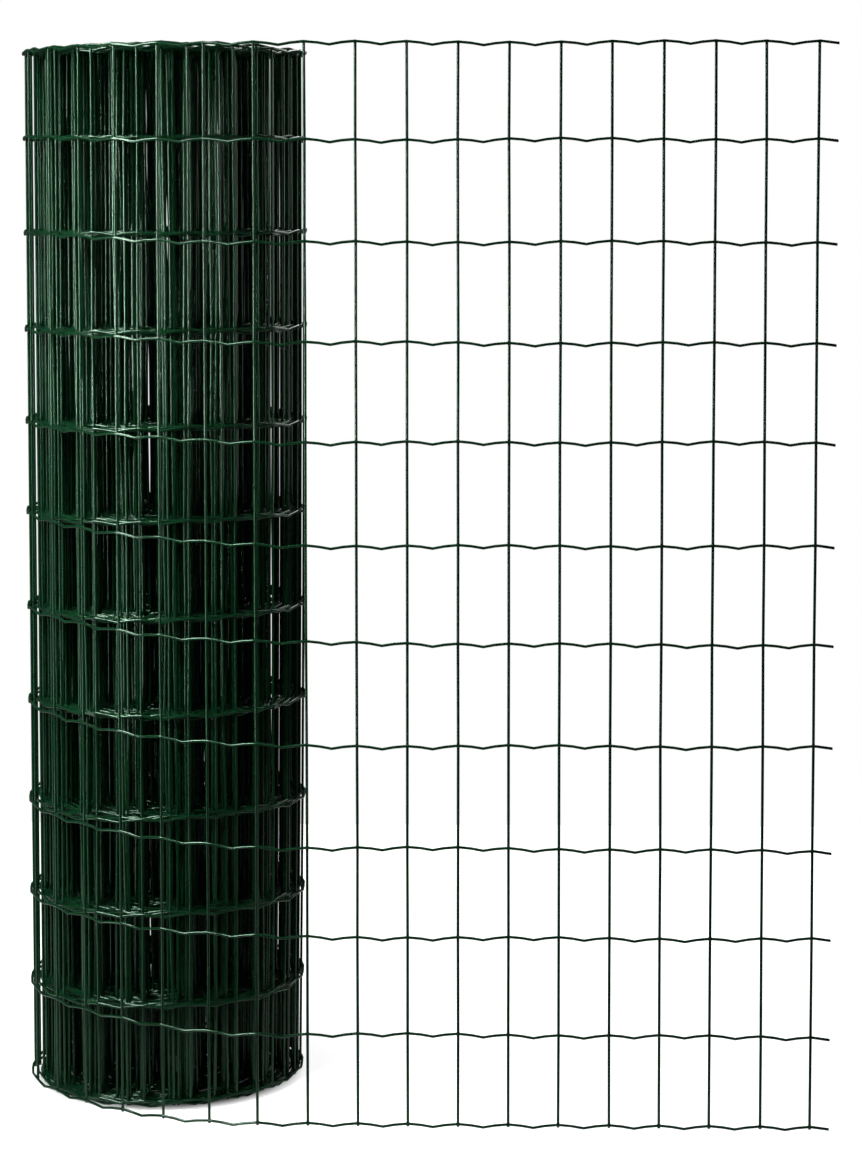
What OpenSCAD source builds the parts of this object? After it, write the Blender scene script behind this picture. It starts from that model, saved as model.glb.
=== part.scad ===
// Roll of welded wire fencing, standing on its end with a free length led off to the right.
// The wound length is one turned solid around an open bore, and each turn shows on its ends.
// The free length is a welded sheet: crimped line wires outside, straight cross wires inside.
// Origin on the roll's axis at the floor, Z up, the free length in front of the roll (-Y).

/* [Mesh] */
// Distance between cross wires along the fence
cross_pitch = 50; // [40:1:75]
// Distance between line wires up the fence
line_pitch = 98.5; // [75:0.5:120]
// Cells up the fence
rows = 11; // [6:1:14]
// Wire diameter over its plastic coating
wire_d = 2.5; // [2:0.1:3.4]
// Height of the waves crimped into the line wires, from dip to crest
crimp = 3.5; // [1:0.5:6]
// Depth that a cross wire is pressed into a line wire at a weld
weld_sink = 0.6; // [0.3:0.1:1]

/* [Roll] */
// Outside diameter of the wound length
roll_d = 290; // [240:2:360]
// Diameter of the open bore
bore_d = 60; // [50:2:120]
// Clear gap between neighbouring turns
turn_gap = 0.45; // [0.4:0.05:4]

/* [Free length] */
// Bend radius where the sheet leaves the roll
lead_r = 300; // [240:5:450]
// Angle of that bend, up to where the sheet runs straight
lead_angle = 55; // [35:1:75]
// Length of sheet that still lies on the roll
lap = 24; // [10:1:40]
// Cells along the free length
free_cells = 17; // [10:1:24]
// Line wire that stands out past the last cross wire
stub = 19; // [5:1:24]

/* [Hidden] */
$fn = 96;
wire_sides = 6;
wire_r = wire_d / 2;
roll_r = roll_d / 2;
bore_r = bore_d / 2;
// As many turns as go between the bore and the outside, evenly spread
turns = floor((roll_r - bore_r - wire_d) / (wire_d + turn_gap)) + 1;
turn_pitch = (roll_r - bore_r - wire_d) / (turns - 1);
// Centre height of the lowest line wire, whose dips stand on the floor
foot = wire_r + crimp / 2;
fence_h = rows * line_pitch + 2 * foot;
// Between the centre lines of two wires that are welded together
weld_gap = wire_d - weld_sink;
// The roll's surface between its hoops, at the centres of its outer cross wires
skin_r = roll_r - wire_r - weld_gap;
skin_wires = round(2 * PI * roll_r / cross_pitch);
// Half of an octagon's side, for the flat on a wire's crown
crown = wire_r * tan(22.5);
// Play between the free sheet and the roll under it
seat = 0.2;
// The sheet's line wires where they lie on the roll, and the heading at which they leave it
path_r = roll_r + seat + wire_r + weld_gap;
leave_a = 270 - lead_angle;
lead_len = lead_r * lead_angle * PI / 180;
// Stations along the sheet, measured from where it leaves the roll: every cross wire and every mid-cell
first_cross = -lap;
last_cross = first_cross + free_cells * cross_pitch;
stations = concat(
    [first_cross - 2 * wire_d],
    [for (i = [0 : 2 * free_cells]) first_cross + i * cross_pitch / 2],
    [last_cross + stub]
);
coat = "#17432f";

// Heading of the sheet's outer side at a station: on the roll, round the bend, then straight
function face_angle(s) =
    s < 0 ? leave_a + s / path_r * 180 / PI :
    s < lead_len ? leave_a + s / lead_r * 180 / PI : 270;

// Centre line of the line wires in plan at a station
function plan(s) =
    let (a = face_angle(s), out = [cos(a), sin(a)],
         middle = (path_r - lead_r) * [cos(leave_a), sin(leave_a)])
    s < 0 ? path_r * out :
    s < lead_len ? middle + lead_r * out :
    middle + [s - lead_len, -lead_r];

// Rise of the crimp at a station: a crest at each cross wire, a dip at each mid-cell
function wave(s) =
    let (cell = (s - first_cross) / cross_pitch, part = abs(cell - round(cell)))
    crimp * (0.5 - 2 * part);

// Half octagon that a line wire shows above the solid's face, as [across, up] around its centre
function bead() = [[-wire_r, crown], [-crown, wire_r], [crown, wire_r], [wire_r, crown]];

// One bend-by-bend wire: a six-sided section carried along the stations at height z
module line_wire(z) {
    n = wire_sides;
    count = len(stations);
    rings = [for (s = stations)
        let (a = face_angle(s), p = plan(s))
        for (k = [0 : n - 1])
            let (t = 360 * (k + 0.5) / n)
            [p.x + wire_r * cos(t) * cos(a), p.y + wire_r * cos(t) * sin(a), z + wave(s) + wire_r * sin(t)]];
    sides = [for (i = [0 : count - 2], k = [0 : n - 1])
        let (k2 = (k + 1) % n)
        [i * n + k, i * n + k2, (i + 1) * n + k2, (i + 1) * n + k]];
    ends = [[for (k = [n - 1 : -1 : 0]) k], [for (k = [0 : n - 1]) (count - 1) * n + k]];
    polyhedron(points = rings, faces = concat(sides, ends));
}

// A straight cross wire at plan position p, with a flat turned towards heading a
module cross_wire(p, a, low, high) {
    translate([p.x, p.y, low])
        rotate([0, 0, a + 180 / wire_sides])
            cylinder(d = wire_d, h = high - low, $fn = wire_sides);
}

// Half section of the wound length: bore wall, a bead for each turn on both ends, a hoop for each line wire outside
module roll_section() {
    turn_at = [for (i = [0 : turns - 1]) bore_r + wire_r + i * turn_pitch];
    hoop_at = [for (j = [1 : rows - 1]) foot + j * line_pitch];
    top_end = [for (i = [0 : turns - 1]) let (r = turn_at[i]) each concat(
        i == 0 ? [[bore_r, fence_h]] : [[r - wire_r, fence_h - wire_r], [r - wire_r, fence_h - wire_r + crown], [r - crown, fence_h]],
        [[r + crown, fence_h], [r + wire_r, fence_h - wire_r + crown], i == turns - 1 ? [roll_r, fence_h - wire_d] : [r + wire_r, fence_h - wire_r]])];
    outside = [for (j = [rows - 2 : -1 : 0]) each concat(
        [[skin_r, hoop_at[j] + wire_r]],
        [for (k = [3 : -1 : 0]) [roll_r - wire_r + bead()[k].y, hoop_at[j] + bead()[k].x]],
        [[skin_r, hoop_at[j] - wire_r]])];
    half = concat(top_end, [[skin_r, fence_h - wire_d]]);
    bottom_end = [for (i = [len(half) - 1 : -1 : 0]) [half[i].x, fence_h - half[i].y]];
    polygon(concat(half, outside, bottom_end));
}

// The wound length: every turn inside its outline, with the outer turn's wires in relief
module wound_roll() {
    color(coat) {
        rotate_extrude() roll_section();
        for (i = [0 : skin_wires - 1]) {
            a = 360 * (i + 0.5) / skin_wires;
            cross_wire(skin_r * [cos(a), sin(a)], a, 0.75 * wire_d, fence_h - 0.75 * wire_d);
        }
    }
}

// The free length: line wires up the sheet with cross wires welded to their inner side
module free_sheet() {
    color(coat) {
        for (j = [0 : rows]) line_wire(foot + j * line_pitch);
        for (i = [0 : free_cells]) {
            s = first_cross + i * cross_pitch;
            a = face_angle(s);
            cross_wire(plan(s) - weld_gap * [cos(a), sin(a)], a, 0, fence_h);
        }
    }
}

wound_roll();
free_sheet();
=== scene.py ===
import bpy
import numpy as np
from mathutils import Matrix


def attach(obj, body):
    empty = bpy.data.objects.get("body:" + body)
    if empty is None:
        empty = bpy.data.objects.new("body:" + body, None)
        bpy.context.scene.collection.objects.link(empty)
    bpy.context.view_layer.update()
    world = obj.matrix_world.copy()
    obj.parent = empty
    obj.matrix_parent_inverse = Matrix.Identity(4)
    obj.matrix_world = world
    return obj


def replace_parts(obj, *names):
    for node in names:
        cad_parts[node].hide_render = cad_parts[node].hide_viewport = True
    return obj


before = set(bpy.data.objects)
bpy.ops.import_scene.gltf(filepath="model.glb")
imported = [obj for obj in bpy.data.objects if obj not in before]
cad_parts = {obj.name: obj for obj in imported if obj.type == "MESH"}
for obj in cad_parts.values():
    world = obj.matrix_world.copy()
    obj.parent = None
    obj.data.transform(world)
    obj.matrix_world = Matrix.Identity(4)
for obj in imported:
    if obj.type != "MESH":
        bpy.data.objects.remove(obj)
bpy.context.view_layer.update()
scene = bpy.context.scene
scene.view_settings.view_transform = "Standard"

# Camera: a long lens a little under the roll's top edge, tipped four degrees down, with the
# frame slid downwards so that the uprights stay nearly parallel, as in the photograph.
tip_down = 4.152
turn_left = 1.463
photo_lens = bpy.data.cameras.new("photo_lens")
photo_lens.sensor_fit = "AUTO"
photo_lens.sensor_width = 36.0
photo_lens.lens = 91.75
photo_lens.shift_y = -0.17
photo_lens.clip_end = 60.0
camera = bpy.data.objects.new("camera", photo_lens)
camera.location = (0.3599, -3.1182, 0.9607)
camera.rotation_euler = (np.radians(90.0 - tip_down), 0.0, np.radians(turn_left))
scene.collection.objects.link(camera)
scene.camera = camera

# Line wires: drawn steel wire with a wave crimped into each cell, wound into about 39 turns,
# then led off the roll round a wide bend and out straight. They lie outside the cross wires,
# and the coating, which is put on after welding, leaves a small web at every weld.
wire_r = 1.42
cell = 50.0
free_cells = 17
first_cross = -24.0
stub = 18.8
sheet_end = first_cross + free_cells * cell + stub

# The bend off the roll: radius and angle as in the solid, with the thicker wires set in by a little
leave_angle = np.radians(215.0)
path_r = 148.35
lead_r = 300.0
lead_len = lead_r * np.radians(55.0)
lead_mid = (path_r - lead_r) * np.array([np.cos(leave_angle), np.sin(leave_angle)])
set_in = 0.5

# The winding: its turns are loosest outside and on the left, and it isn't quite round.
# Slack and dents grow over so many turns from outside.
turn_count = 39
inner_r = 34.1
outer_r = 143.5
lift_turn = 0.1
loose_turns = 3
loose_pitch = 3.4
loose_right = 0.3
left_slack = 1.2
slack_over = (0.2, 1.8)
right_bulge = 1.7
dent_depth = 1.0
dent_angle = 0.7
dents_over = (0.0, 2.0)


def ramp(x, start, end):
    """Smooth step from 0 at start to 1 at end: 3p^2 - 2p^3 of the part p of the way."""
    part = np.clip((x - start) / (end - start), 0.0, 1.0)
    return part * part * (3.0 - 2.0 * part)


def wound_radius(back):
    """Radius of the winding at an angle `back` before the sheet leaves the roll.

    With t turns behind the lift-off it falls by close_pitch * t, and by the looseness of the outer
    turns, n * (loose_pitch - close_pitch) * (1 - exp(-t / n)), in full on the left. Slack on the
    left, three shallow dents and a bulge on the right fade out towards the bore. The last tenth
    of a turn lifts off to the sheet.
    """
    t = np.maximum(back / (2 * np.pi) - lift_turn, 0.0)
    span = turn_count - lift_turn
    close_pitch = (outer_r - inner_r - loose_turns * loose_pitch) / (span - loose_turns)
    angle = leave_angle - back
    left = 0.5 + 0.5 * np.cos(angle - np.pi)
    fade = 1 - t / span
    looseness = loose_turns * (loose_pitch - close_pitch) * (1 - np.exp(-t / loose_turns))
    fall = close_pitch * t + looseness * (loose_right + (1 - loose_right) * left)
    slack = left_slack * left ** 3 * ramp(t, *slack_over) * fade
    dents = dent_depth * (0.5 - 0.5 * np.sin(3 * angle + dent_angle)) * ramp(t, *dents_over) * fade
    bulge = right_bulge * (1 - left) ** 2 * fade
    lift = (path_r - set_in - outer_r) * (1 - ramp(back, 0.0, 2 * np.pi * lift_turn))
    return outer_r - fall - slack - dents + bulge + lift


# Length of fence wound up to each degree of the winding
turned = np.linspace(0.0, 2 * np.pi * turn_count, turn_count * 360 + 1)
turned_r = wound_radius(turned)
wound_steps = np.hypot(np.diff(turned_r), turned_r[1:] * np.diff(turned))
wound_len = np.concatenate(([0.0], np.cumsum(wound_steps)))

# How far the outer turns stand out more on the right: at the top, and how much less at the foot
right_stand = 5.4
right_lean = 7.0


def plan(s, up):
    """Line wires seen from above, at lengths s from where the sheet leaves the roll.

    Behind 0 it is the winding's radius and angle, then an arc, then a straight along X. On the
    right the winding also stands out by right_stand - right_lean * (1 - up)^2, with `up` from 0
    at the foot to 1 at the top. Gives the place and the outward heading, with a last axis of two.
    """
    back = np.interp(-s, wound_len, turned)
    heading = np.where(s < 0, leave_angle - back, leave_angle + np.clip(s, 0, lead_len) / lead_r)
    out = np.stack((np.cos(heading), np.sin(heading)), -1)
    right = 0.5 + 0.5 * np.cos(heading)
    stand = (right_stand - right_lean * (1 - up) ** 2) * right ** 4 * (1 - back / turned[-1])
    on_roll = (wound_radius(back) + stand)[..., None] * out
    straight = np.stack((np.maximum(s - lead_len, 0.0), np.zeros_like(s)), -1)
    led_off = lead_mid + (lead_r - set_in) * out + straight
    return np.where((s < 0)[..., None], on_roll, led_off), out


# Heights of the rows, and how far each lies over or under an even spacing, lowest first: on the
# roll, on the sheet, and the lengths between which it goes from one to the other
row_count = 12
row_pitch = 98.14
foot_z = 5.0
roll_rows = np.array([3.0, 4.5, 0.5, 2.0, 8.0, 9.5, 10.5, 7.0, 7.0, 7.5, 6.0, -3.5])
sheet_rows = np.array([5.0, -2.0, -2.0, -11.0, -5.5, -2.0, -3.5, 0.5, 0.5, 1.0, 2.0, -1.0])
rows_settle = (-120.0, 340.0)
# The foot row's drop and the top row's rise, and between which lengths back from the bend they come
foot_drop = 3.0
foot_drops = (900.0, 1800.0)
rim_rise = 5.0
rim_rises = (500.0, 1000.0)
rim_sinks = (2000.0, 2500.0)
rim_limit = 1086.2
# Drift of all rows together, of a row by itself, of the top row, and of the rows inside the roll,
# which are looser the lower they are, with the lengths between which a drift stops at the sheet
shared_drift = 1.9
shared_seed = 7
shared_stops = (-200.0, 0.0)
own_drift = 1.6
top_drift = 1.2
own_seed = 20
loose_drift = 3.2
loose_drift_step = 0.32
loose_seed = 40
loose_stops = (-400.0, -100.0)


def wander(s, reach, seed):
    """Slow drift along the fence, up to `reach`: a weighted sum of sine waves with seeded phases."""
    lengths = np.array([290.0, 810.0, 2300.0])
    weights = np.array([0.4, 0.3, 0.3])
    phases = np.random.default_rng(seed).uniform(0, 2 * np.pi, len(lengths))
    return reach * (np.sin(2 * np.pi * s[..., None] / lengths + phases) @ weights)


def row_height(row, s):
    """Centre height of one line wire at lengths s, without its crimp.

    Even rows, plus the row's unevenness, which goes from the roll's to the sheet's along the bend,
    plus drift. The foot row's inner turns drop to the floor. Some turns of the top row stand proud
    at the front, and none goes over rim_limit.
    """
    uneven = roll_rows[row] + (sheet_rows[row] - roll_rows[row]) * ramp(s, *rows_settle)
    drift = wander(s, shared_drift, shared_seed) * (1 - ramp(s, *shared_stops))
    if row == 0:
        uneven = uneven - foot_drop * ramp(-s, *foot_drops)
    elif row == row_count - 1:
        front = 0.5 - 0.5 * np.sin(leave_angle - np.interp(-s, wound_len, turned))
        proud = ramp(-s, *rim_rises) * (1 - ramp(-s, *rim_sinks))
        uneven = uneven + rim_rise * front ** 3 * proud
        drift = drift + wander(s, top_drift, own_seed + row)
    else:
        loose = loose_drift - loose_drift_step * row
        drift = drift + wander(s, own_drift, own_seed + row)
        drift = drift + wander(s, loose, loose_seed + row) * (1 - ramp(s, *loose_stops))
    return np.minimum(foot_z + row_pitch * row + uneven + drift, rim_limit)


# The steel core's share of the coated radius
core_share = 0.72


def tube(name, centre, side, up, radius, sides):
    """Closed round wires: a circle of `radius` in the plane of `side` and `up` at every station.

    Arrays run (wire, station, 3). Each end is a flat face with the steel core as its middle
    disc, marked by the face attribute cut_end. Gives the mesh object, in metres.
    """
    turn = 2 * np.pi * (np.arange(sides) + 0.5) / sides
    centre = np.concatenate((centre[:, :1], centre, centre[:, -1:]), 1)
    side = np.concatenate((side[:, :1], side, side[:, -1:]), 1)
    up = np.concatenate((up[:, :1], up, up[:, -1:]), 1)
    radius = np.concatenate((core_share * radius[:, :1], radius, core_share * radius[:, -1:]), 1)
    ring = np.cos(turn)[:, None] * side[:, :, None] + np.sin(turn)[:, None] * up[:, :, None]
    verts = centre[:, :, None] + radius[:, :, None, None] * ring
    wires, stations = radius.shape
    index = np.arange(wires * stations * sides).reshape(wires, stations, sides)
    after = np.roll(index, -1, 2)
    quads = np.stack((index[:, :-1], after[:, :-1], after[:, 1:], index[:, 1:]), -1)
    faces = quads.reshape(-1, 4).tolist()
    ends = np.concatenate((index[:, 0, ::-1], index[:, -1])).tolist()
    skin = np.ones((wires, stations - 1, sides), bool)
    skin[:, [0, -1]] = False
    mesh = bpy.data.meshes.new(name)
    mesh.from_pydata((verts.reshape(-1, 3) * 0.001).tolist(), [], faces + ends)
    mesh.polygons.foreach_set("use_smooth", np.concatenate((skin.ravel(), np.zeros(len(ends), bool))))
    cut = mesh.attributes.new("cut_end", "FLOAT", "FACE")
    cut.data.foreach_set("value", np.concatenate((np.zeros(len(faces)), np.ones(len(ends)))))
    mesh.update()
    piece = bpy.data.objects.new(name, mesh)
    scene.collection.objects.link(piece)
    return piece


def linear(code):
    """An sRGB hex colour as linear RGBA."""
    c = np.array([int(code[i:i + 2], 16) for i in (1, 3, 5)]) / 255
    c = np.where(c <= 0.04045, c / 12.92, ((c + 0.055) / 1.055) ** 2.4)
    return (*c.tolist(), 1.0)


def add_node(tree, kind, settings, inputs):
    """Adds a node to a tree: its properties, then each input as a value or a linked socket."""
    node = tree.nodes.new(kind)
    for key, value in settings.items():
        setattr(node, key, value)
    for key, value in inputs.items():
        if isinstance(value, bpy.types.NodeSocket):
            tree.links.new(value, node.inputs[key])
        else:
            node.inputs[key].default_value = value
    return node


# PVC, fused onto galvanised wire: a smooth dark green skin with a wet gloss, a slow change of depth
# over some 25 mm, duller patches of some 40 mm where turns have rubbed, and bare steel where it is cut.
pvc_green = "#0b331b"
pvc_shade = "#082513"
pvc_shine = "#d5ffe4"
cut_steel = "#8d918f"
shade_patch = 25.0
rubbed_patch = 40.0
pvc_coat = bpy.data.materials.new("pvc_coated_wire")
pvc_coat.use_nodes = True
tree = pvc_coat.node_tree
bsdf = tree.nodes["Principled BSDF"]
place = add_node(tree, "ShaderNodeTexCoord", {}, {})
depth = add_node(tree, "ShaderNodeTexNoise", {},
                 {"Vector": place.outputs["Object"], "Scale": 1000.0 / shade_patch, "Detail": 2.0})
rubbed = add_node(tree, "ShaderNodeTexNoise", {},
                  {"Vector": place.outputs["Object"], "Scale": 1000.0 / rubbed_patch, "Detail": 1.0})
cut = add_node(tree, "ShaderNodeAttribute", {"attribute_name": "cut_end"}, {})
green = add_node(tree, "ShaderNodeMix", {"data_type": "RGBA"},
                 {0: depth.outputs["Fac"], 6: linear(pvc_shade), 7: linear(pvc_green)})
face = add_node(tree, "ShaderNodeMix", {"data_type": "RGBA"},
                {0: cut.outputs["Fac"], 6: green.outputs[2], 7: linear(cut_steel)})
gloss = add_node(tree, "ShaderNodeMapRange", {},
                 {"Value": rubbed.outputs["Fac"], "From Min": 0.3, "From Max": 0.7,
                  "To Min": 0.12, "To Max": 0.17})
tree.links.new(face.outputs[2], bsdf.inputs["Base Color"])
tree.links.new(gloss.outputs["Result"], bsdf.inputs["Roughness"])
tree.links.new(cut.outputs["Fac"], bsdf.inputs["Metallic"])
bsdf.inputs["IOR"].default_value = 1.53
bsdf.inputs["Specular Tint"].default_value = linear(pvc_shine)

# Where each cross wire meets each line wire: a lean and small bends, more of both deep in the roll
lean_spread = 2.4
lean_limit = 4.8
bend_spread = 0.7
sheet_share = 0.2
bent_over = (0.0, 1800.0)
wound_cells = int((wound_len[-1] + first_cross - stub) // cell)
crosses = first_cross + cell * np.arange(-wound_cells, free_cells + 1)
fence_start = crosses[0] - stub
scatter = np.random.default_rng(4)
bent = (sheet_share + (1 - sheet_share) * ramp(-crosses, *bent_over))[:, None]
lean = np.clip(scatter.normal(0.0, lean_spread, len(crosses)), -lean_limit, lean_limit)
bends = scatter.normal(0.0, bend_spread, (len(crosses), row_count))
welds = crosses[:, None] + bent * (lean[:, None] * np.linspace(-1, 1, row_count) + bends)

# The stations of one cell: around the weld on the crest of the wave, then down to its dip and up.
# Heights are shares of the crimp, and the coating swells at the weld.
crimp = 3.2
web = 2.2
weld_swell = 1.12
weld_rise = 0.47
web_rise = 0.44
flank_rise = 0.12
dip_rise = -0.5
stub_rise = -0.25
around_weld = np.array([-web, 0.0, web])
down_and_up = np.array([0.27, 0.5, 0.73])
crest = [web_rise, weld_rise, web_rise]
dip = [flank_rise, dip_rise, flank_rise]
swollen = [1.0, weld_swell, 1.0]
even = [1.0, 1.0, 1.0]
fine_sides = 10

for row in range(row_count):
    at = welds[:, row]
    gap = np.diff(at)
    mids = at[:-1, None] + gap[:, None] * down_and_up
    stations = np.concatenate((at[:-1, None] + around_weld, mids), 1).ravel()
    s = np.concatenate(([fence_start], stations, at[-1] + around_weld, [sheet_end]))
    wave = np.concatenate(([0.0], np.tile(crest + dip, len(gap)), crest, [stub_rise]))
    swell = np.concatenate(([1.0], np.tile(swollen + even, len(gap)), swollen, [1.0]))
    xy, out = plan(s, row / (row_count - 1))
    height = row_height(row, s) + crimp * wave
    centre = np.concatenate((xy, height[:, None]), 1)[None]
    outward = np.concatenate((out, np.zeros((len(s), 1))), 1)[None]
    upward = np.broadcast_to([0.0, 0.0, 1.0], outward.shape)
    radius = (wire_r * swell)[None]
    line_wire = tube("line_wire_%02d" % (row + 1), centre, outward, upward, radius, fine_sides)
    line_wire.data.materials.append(pvc_coat)
    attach(line_wire, "root")
    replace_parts(line_wire, "wound_roll", "free_sheet")

# Cross wires: straight lengths of the same wire, cut a little over the fence's height and
# resistance-welded to the inner side of every line wire, under the same coating.
weld_gap = 1.9
over_top = 1.6
over_foot = 3.04
heading_row = 5
# Those of the sheet and of the outer turns are finer than those inside the roll
fine_turns = 1.2
inside_sides = 6


def cross_wires(name, chosen, offsets, sides):
    """Upright wires through the welds of the chosen crosses, weld_gap inside the line wires.

    `offsets` are the heights around each weld that get a station, and the wire swells at the weld
    itself. The end stations lie past the outer welds, by over_foot and over_top. All of a wire
    has the heading of its middle, at heading_row.
    """
    s = welds[chosen]
    xy, out = plan(s, np.arange(row_count) / (row_count - 1))
    xy = xy - weld_gap * out
    height = np.stack([row_height(row, s[:, row]) for row in range(row_count)], 1) + weld_rise * crimp
    kept = slice(1, -1) if len(offsets) > 1 else slice(None)
    z = (height[:, :, None] + np.array(offsets)).reshape(len(s), -1)
    z = np.concatenate((height[:, :1] - over_foot, z[:, kept], height[:, -1:] + over_top), 1)
    swell = np.tile(np.where(np.array(offsets) == 0, weld_swell, 1.0), row_count)
    swell = np.concatenate(([1.0], swell[kept], [1.0]))
    mid = np.repeat(xy, len(offsets), 1)
    mid = np.concatenate((mid[:, :1], mid[:, kept], mid[:, -1:]), 1)
    centre = np.concatenate((mid, z[:, :, None]), 2)
    side = np.zeros(centre.shape)
    side[..., :2] = out[:, heading_row:heading_row + 1]
    along = np.stack((-side[..., 1], side[..., 0], np.zeros(side.shape[:2])), -1)
    piece = tube(name, centre, side, along, np.broadcast_to(wire_r * swell, z.shape), sides)
    piece.data.materials.append(pvc_coat)
    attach(piece, "root")
    return piece


near = crosses > -2 * np.pi * outer_r * fine_turns
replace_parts(cross_wires("cross_wires_wound", ~near, (0.0,), inside_sides), "wound_roll")
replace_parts(cross_wires("cross_wires_sheet", near, around_weld, fine_sides), "free_sheet")

# Floor: a plain white studio sweep, in metres. Its own brightness makes it white to the eye, is lowered
# a little around the roll and falls nearly to nothing under it as painted shade, and its matt paint
# takes the lamps' light, so it keeps the shadow.
floor_left = -1.1
floor_right = 1.6
floor_front = -0.35
floor_back = 1.2
floor_z = -0.0004
paint_grey = 0.4
mirrored_level = 0.08
given_level = 0.25
corners = [(floor_left, floor_front, floor_z), (floor_right, floor_front, floor_z),
           (floor_right, floor_back, floor_z), (floor_left, floor_back, floor_z)]
floor_mesh = bpy.data.meshes.new("floor")
floor_mesh.from_pydata(corners, [], [(0, 1, 2, 3)])
floor = bpy.data.objects.new("floor", floor_mesh)
scene.collection.objects.link(floor)
matt_white = bpy.data.materials.new("matt_white_paint")
matt_white.use_nodes = True
tree = matt_white.node_tree
tree.nodes.clear()
ray = add_node(tree, "ShaderNodeLightPath", {}, {})
# How bright each kind of ray finds it: white to the eye and through glass, dim to gloss and bounce
mirrored = add_node(tree, "ShaderNodeMath", {"operation": "MULTIPLY"},
                    {0: ray.outputs["Is Glossy Ray"], 1: mirrored_level})
given = add_node(tree, "ShaderNodeMath", {"operation": "MULTIPLY"},
                 {0: ray.outputs["Is Diffuse Ray"], 1: given_level})
clear = add_node(tree, "ShaderNodeMath", {"operation": "MAXIMUM"},
                 {0: ray.outputs["Is Camera Ray"], 1: ray.outputs["Is Transmission Ray"]})
dim = add_node(tree, "ShaderNodeMath", {"operation": "MAXIMUM"},
               {0: mirrored.outputs[0], 1: given.outputs[0]})
seen = add_node(tree, "ShaderNodeMath", {"operation": "MAXIMUM"},
                {0: clear.outputs[0], 1: dim.outputs[0]})
# How it falls off towards the roll's axis: a little around the roll, so that the lamps' shadow shows
# there, and nearly to nothing under it, a painted shade where the roll's own shadow lies
place = add_node(tree, "ShaderNodeTexCoord", {}, {})
reach = add_node(tree, "ShaderNodeVectorMath", {"operation": "DISTANCE"},
                 {0: place.outputs["Object"], 1: (0.0, 0.0, 0.0)})
around = add_node(tree, "ShaderNodeMapRange", {"interpolation_type": "SMOOTHSTEP"},
                  {"Value": reach.outputs["Value"], "From Min": 0.13, "From Max": 0.27,
                   "To Min": 0.86, "To Max": 1.0})
# Painted shade: the floor's glow drops nearly to nothing under the roll
painted_shade_under_roll = add_node(tree, "ShaderNodeMapRange", {"interpolation_type": "SMOOTHSTEP"},
                 {"Value": reach.outputs["Value"], "From Min": 0.12, "From Max": 0.148,
                  "To Min": 0.03, "To Max": 1.0})
fall_off_and_painted_shade = add_node(tree, "ShaderNodeMath", {"operation": "MULTIPLY"},
                    {0: around.outputs[0], 1: painted_shade_under_roll.outputs[0]})
level = add_node(tree, "ShaderNodeMath", {"operation": "MULTIPLY"},
                 {0: seen.outputs[0], 1: fall_off_and_painted_shade.outputs[0]})
glow = add_node(tree, "ShaderNodeEmission", {},
                {"Color": (1, 1, 1, 1), "Strength": level.outputs[0]})
paint = add_node(tree, "ShaderNodeBsdfDiffuse", {},
                 {"Color": (paint_grey, paint_grey, paint_grey, 1)})
both = add_node(tree, "ShaderNodeAddShader", {}, {0: glow.outputs[0], 1: paint.outputs[0]})
add_node(tree, "ShaderNodeOutputMaterial", {}, {"Surface": both.outputs[0]})
floor_mesh.materials.append(matt_white)


# Studio: a tall strip with a grid at the left gives the uprights their highlights, dimmer at its
# foot. Boxes over the roll light the line wires, weak ones fill the low left, the right and the
# back, and the room is white to the eye and dark in reflections. Places and sizes are in metres.
def soft_box(name, place, aim, size, radiance, spread):
    """A rectangular lamp at `place` that faces `aim`, with a grid that lets light out within
    `spread` degrees; its power is radiance * pi * area."""
    lamp = bpy.data.lights.new(name, "AREA")
    lamp.shape = "RECTANGLE"
    lamp.size, lamp.size_y = size
    lamp.energy = radiance * np.pi * size[0] * size[1]
    lamp.spread = np.radians(spread)
    box = bpy.data.objects.new(name, lamp)
    ahead = np.array(aim, float) - np.array(place, float)
    tip = np.arctan2(np.hypot(ahead[0], ahead[1]), -ahead[2])
    box.location = place
    box.rotation_euler = (tip, 0.0, np.arctan2(-ahead[0], ahead[1]))
    box.visible_camera = False
    scene.collection.objects.link(box)


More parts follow.
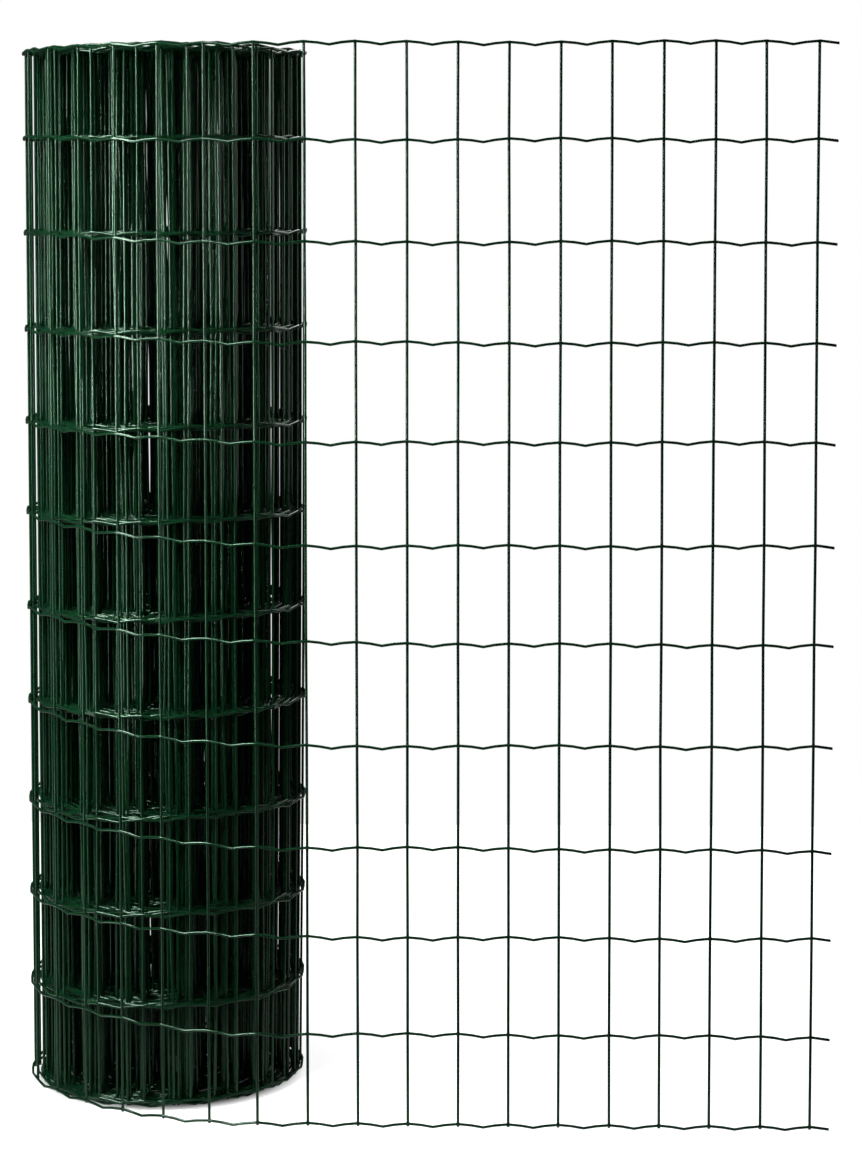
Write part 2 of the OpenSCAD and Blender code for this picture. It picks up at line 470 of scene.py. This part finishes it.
soft_box("soft_box_key", (-1.21, -0.7, 1.055), (0.03, -0.165, 1.1), (0.18, 0.91), 1.4, 20)
soft_box("soft_box_key_foot", (-1.21, -0.7, 0.37), (0.03, -0.165, 0.56), (0.18, 0.46), 0.38, 20)
soft_box("soft_box_low", (-0.5, -0.3, 0.12), (0.0, -0.1, 0.2), (0.1, 0.3), 0.6, 60)
soft_box("soft_box_right", (1.2, 0.4, 1.0), (0.03, 0.0, 0.97), (0.25, 1.0), 0.22, 30)
soft_box("soft_box_top", (-0.75, -1.5, 2.1), (-0.03, -0.05, 0.45), (0.5, 0.7), 2.6, 34)
soft_box("soft_box_over", (-0.95, -0.35, 2.2), (-0.03, -0.1, 0.45), (0.62, 0.36), 60.0, 180)
soft_box("soft_box_back", (0.6, 1.5, 1.9), (0.0, 0.1, 0.5), (1.2, 0.8), 5.0, 180)

room = bpy.data.worlds.new("white_room")
room.use_nodes = True
scene.world = room
tree = room.node_tree
tree.nodes.clear()
ray = add_node(tree, "ShaderNodeLightPath", {}, {})
place = add_node(tree, "ShaderNodeTexCoord", {}, {})
way = add_node(tree, "ShaderNodeSeparateXYZ", {}, {"Vector": place.outputs["Generated"]})
# In reflections the wall behind the roll is grey, and the rest of the room nearly black
wall = add_node(tree, "ShaderNodeMapRange", {"interpolation_type": "SMOOTHSTEP"},
                {"Value": way.outputs["Y"], "From Min": 0.3, "From Max": 0.9,
                 "To Min": 0.02, "To Max": 0.05})
mirrored = add_node(tree, "ShaderNodeMath", {"operation": "MULTIPLY"},
                    {0: ray.outputs["Is Glossy Ray"], 1: wall.outputs[0]})
# As soft light it gives most from below, as a pale floor does
bounce = add_node(tree, "ShaderNodeMapRange", {"interpolation_type": "SMOOTHSTEP"},
                  {"Value": way.outputs["Z"], "From Min": -0.2, "From Max": 0.1,
                   "To Min": 0.25, "To Max": 0.05})
given = add_node(tree, "ShaderNodeMath", {"operation": "MULTIPLY"},
                 {0: ray.outputs["Is Diffuse Ray"], 1: bounce.outputs[0]})
clear = add_node(tree, "ShaderNodeMath", {"operation": "MAXIMUM"},
                 {0: ray.outputs["Is Camera Ray"], 1: ray.outputs["Is Transmission Ray"]})
dim = add_node(tree, "ShaderNodeMath", {"operation": "MAXIMUM"},
               {0: mirrored.outputs[0], 1: given.outputs[0]})
level = add_node(tree, "ShaderNodeMath", {"operation": "MAXIMUM"},
                 {0: clear.outputs[0], 1: dim.outputs[0]})
sky = add_node(tree, "ShaderNodeBackground", {},
               {"Color": (1, 1, 1, 1), "Strength": level.outputs[0]})
add_node(tree, "ShaderNodeOutputWorld", {}, {"Surface": sky.outputs[0]})
